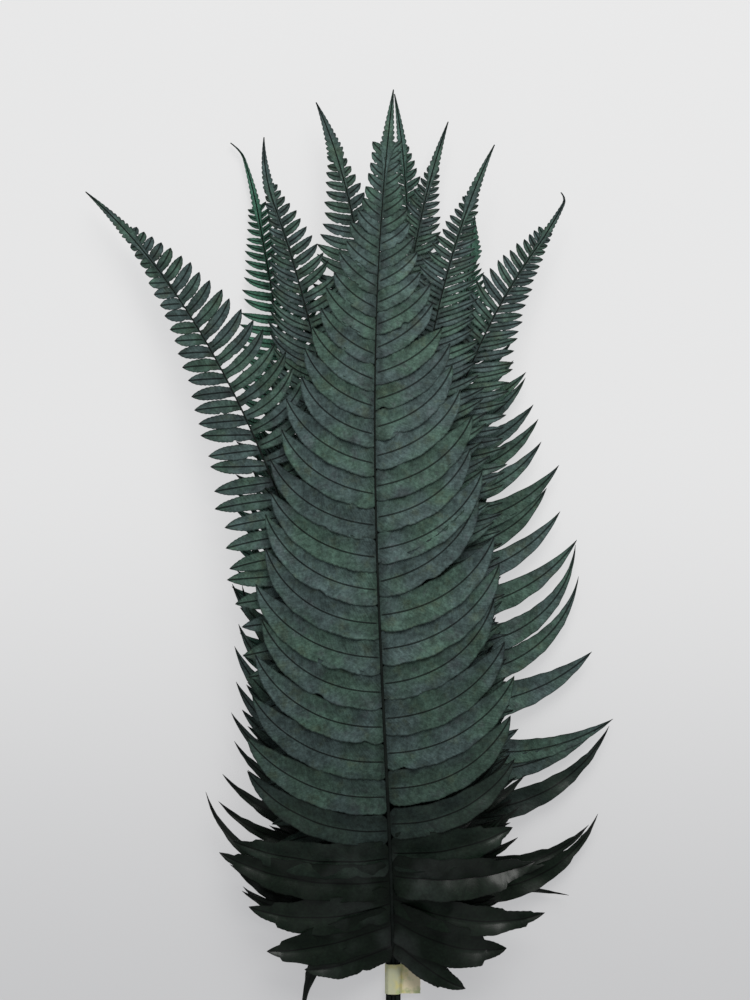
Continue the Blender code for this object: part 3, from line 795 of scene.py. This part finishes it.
def build_fronds():
    """Every frond: one piece of blades and one for its stem and rib."""
    leaf = leaf_finish(
        "fern_leaf",
        blue=(0.050, 0.077, 0.075),
        green=(0.047, 0.085, 0.066),
        olive=(0.052, 0.066, 0.036),
        mauve=(0.047, 0.050, 0.057),
        # the paler green painted where light would shine through the blade
        painted_backlight_green=(0.052, 0.145, 0.098),
        aged=(0.0034, 0.0082, 0.0038),
        # painted highlight: the blue-grey sheen on the old leaflets
        painted_sheen_colour=(0.040, 0.054, 0.052),
    )
    stem = stem_finish("fern_stem", (0.0045, 0.0065, 0.0055), (0.16, 0.13, 0.075))
    for number, (name, frond) in enumerate(FRONDS.items()):
        rng = np.random.default_rng(100 + number)
        rib = Rib(frond)
        foot = float(np.interp(frond["lowest"], rib.line[::-1, 1], rib.left[::-1]))
        parts = [leaflets(name, frond, rib, side, foot, rng) for side in (-1, 1)]
        parts.append(tail(frond, rib))
        starts = np.cumsum([0] + [len(points) for points, _, _ in parts])
        points = np.vstack([part[0] for part in parts])
        quads = np.vstack([part[1] + start for part, start in zip(parts, starts)])
        values = {key: np.concatenate([part[2][key] for part in parts]) for key in parts[0][2]}
        no_tris = np.zeros((0, 3), int)
        add_piece(f"{name}_blades", points, quads, no_tris, values, [leaf], name)
        points, quads, tris, values = tube(rib)
        add_piece(f"{name}_stem", points, quads, tris, values, [stem], name)


def area_light(name, place, target, size, power, colour):
    """A square soft light that faces its target."""
    lamp = bpy.data.lights.new(name, "AREA")
    lamp.shape = "SQUARE"
    lamp.size = size
    lamp.energy = power
    lamp.color = colour
    light = bpy.data.objects.new(name, lamp)
    bpy.context.scene.collection.objects.link(light)
    light.location = place
    light.rotation_euler = (Vector(target) - Vector(place)).to_track_quat("-Z", "Y").to_euler()


def studio():
    """A pale floor whose painted glow is brighter beyond the tips, a soft light from beyond the tips,
    and a camera straight above the bunch.
    """
    side = FLOOR_SIDE / 2
    floor_mesh = bpy.data.meshes.new("floor")
    corners = [(-side, -side, 0), (side, -side, 0), (side, side, 0), (-side, side, 0)]
    floor_mesh.from_pydata([(x, y, FLOOR_LEVEL) for x, y, _ in corners], [], [(0, 1, 2, 3)])
    floor = bpy.data.objects.new("floor", floor_mesh)
    bpy.context.scene.collection.objects.link(floor)
    g = Graph("floor", Roughness=0.9, Specular_IOR_Level=0.1, Emission_Strength=1.0)
    g.shader.inputs["Base Color"].default_value = (*FLOOR_COLOUR, 1)
    apart = g.node("ShaderNodeSeparateXYZ", None, {0: g.place()}, 1)
    # painted light: the floor glows, brighter beyond the tips, which also pales the shadows on it
    g.feed("Emission Color", g.mix(g.step(apart, -0.30, 0.10), FLOOR_GLOW_NEAR, FLOOR_GLOW_FAR))
    floor_mesh.materials.append(g.material)

    world = bpy.data.worlds.new("studio")
    bpy.context.scene.world = world
    world.use_nodes = True
    sky = world.node_tree.nodes["Background"]
    sky.inputs["Color"].default_value = (*SKY_COLOUR, 1)
    sky.inputs["Strength"].default_value = SKY_STRENGTH
    area_light("window", WINDOW_PLACE, (0.0, 0.0, 0.0), WINDOW_SIDE, WINDOW_POWER, (1.0, 0.99, 0.97))

    camera = bpy.data.cameras.new("camera")
    camera.sensor_fit = "VERTICAL"
    camera.sensor_height = SENSOR_HEIGHT
    camera.lens = SENSOR_HEIGHT * CAMERA_HEIGHT / VIEW_HEIGHT
    view = bpy.data.objects.new("camera", camera)
    bpy.context.scene.collection.objects.link(view)
    view.location = (*((tape_middle()[:2] + VIEW_MIDDLE) * MM), CAMERA_HEIGHT)
    bpy.context.scene.camera = view
    bpy.context.scene.view_settings.view_transform = "Standard"


build_fronds()
tape_piece(tape_finish())
studio()
